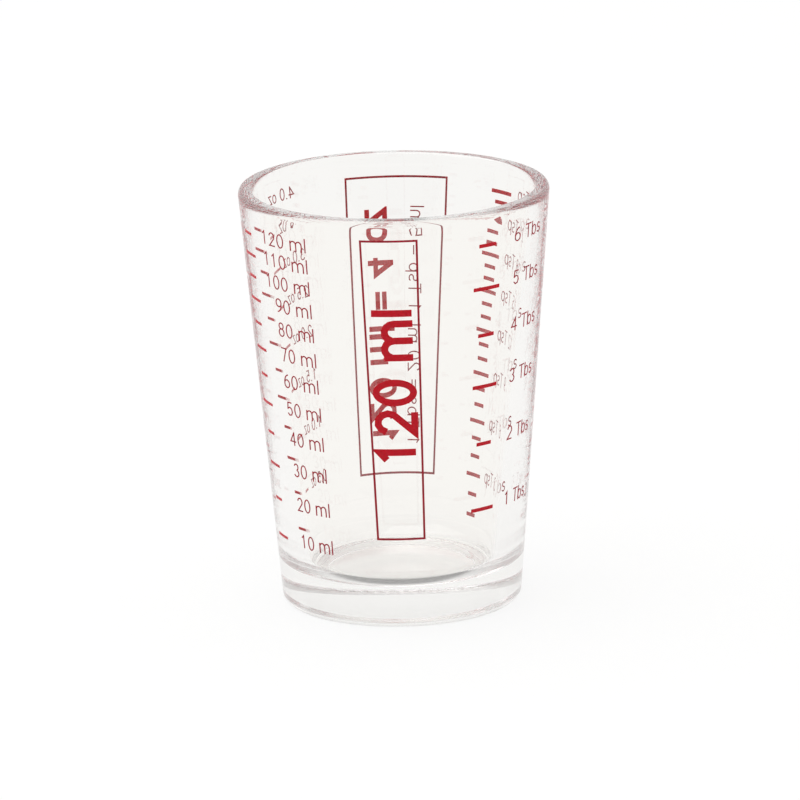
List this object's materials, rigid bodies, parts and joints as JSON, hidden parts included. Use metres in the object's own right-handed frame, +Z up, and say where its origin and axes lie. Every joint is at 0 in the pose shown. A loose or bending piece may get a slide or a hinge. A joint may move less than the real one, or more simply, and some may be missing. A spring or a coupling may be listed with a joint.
{
  "type": "measuring glass",
  "caption": "Small clear glass tumbler with a heavy base, a straight taper and red enamel scales in millilitres, ounces, tablespoons and teaspoons.",
  "frame": {"origin": "centre of the standing ring, on the table", "axes": "+Z up along the glass's axis, -Y towards the front panel, +X to the right of a person who looks at it"},
  "size_m": [0.0622, 0.0622, 0.085],
  "materials": {
    "glass": "clear, fire-polished",
    "enamel": "fired red enamel, half gloss"
  },
  "bodies": {
    "root": {"glass_body": "glass", "ml_ticks": "enamel", "ml_numbers": "enamel", "oz_ticks": "enamel", "oz_numbers": "enamel", "tbs_ticks": "enamel", "tbs_numbers": "enamel", "tsp_ticks": "enamel", "tsp_numbers": "enamel", "front_frame": "enamel", "front_panel_mark": "enamel", "back_frame": "enamel", "back_panel_mark": "enamel", "back_panel_note": "enamel"}
  },
  "joints": []
}
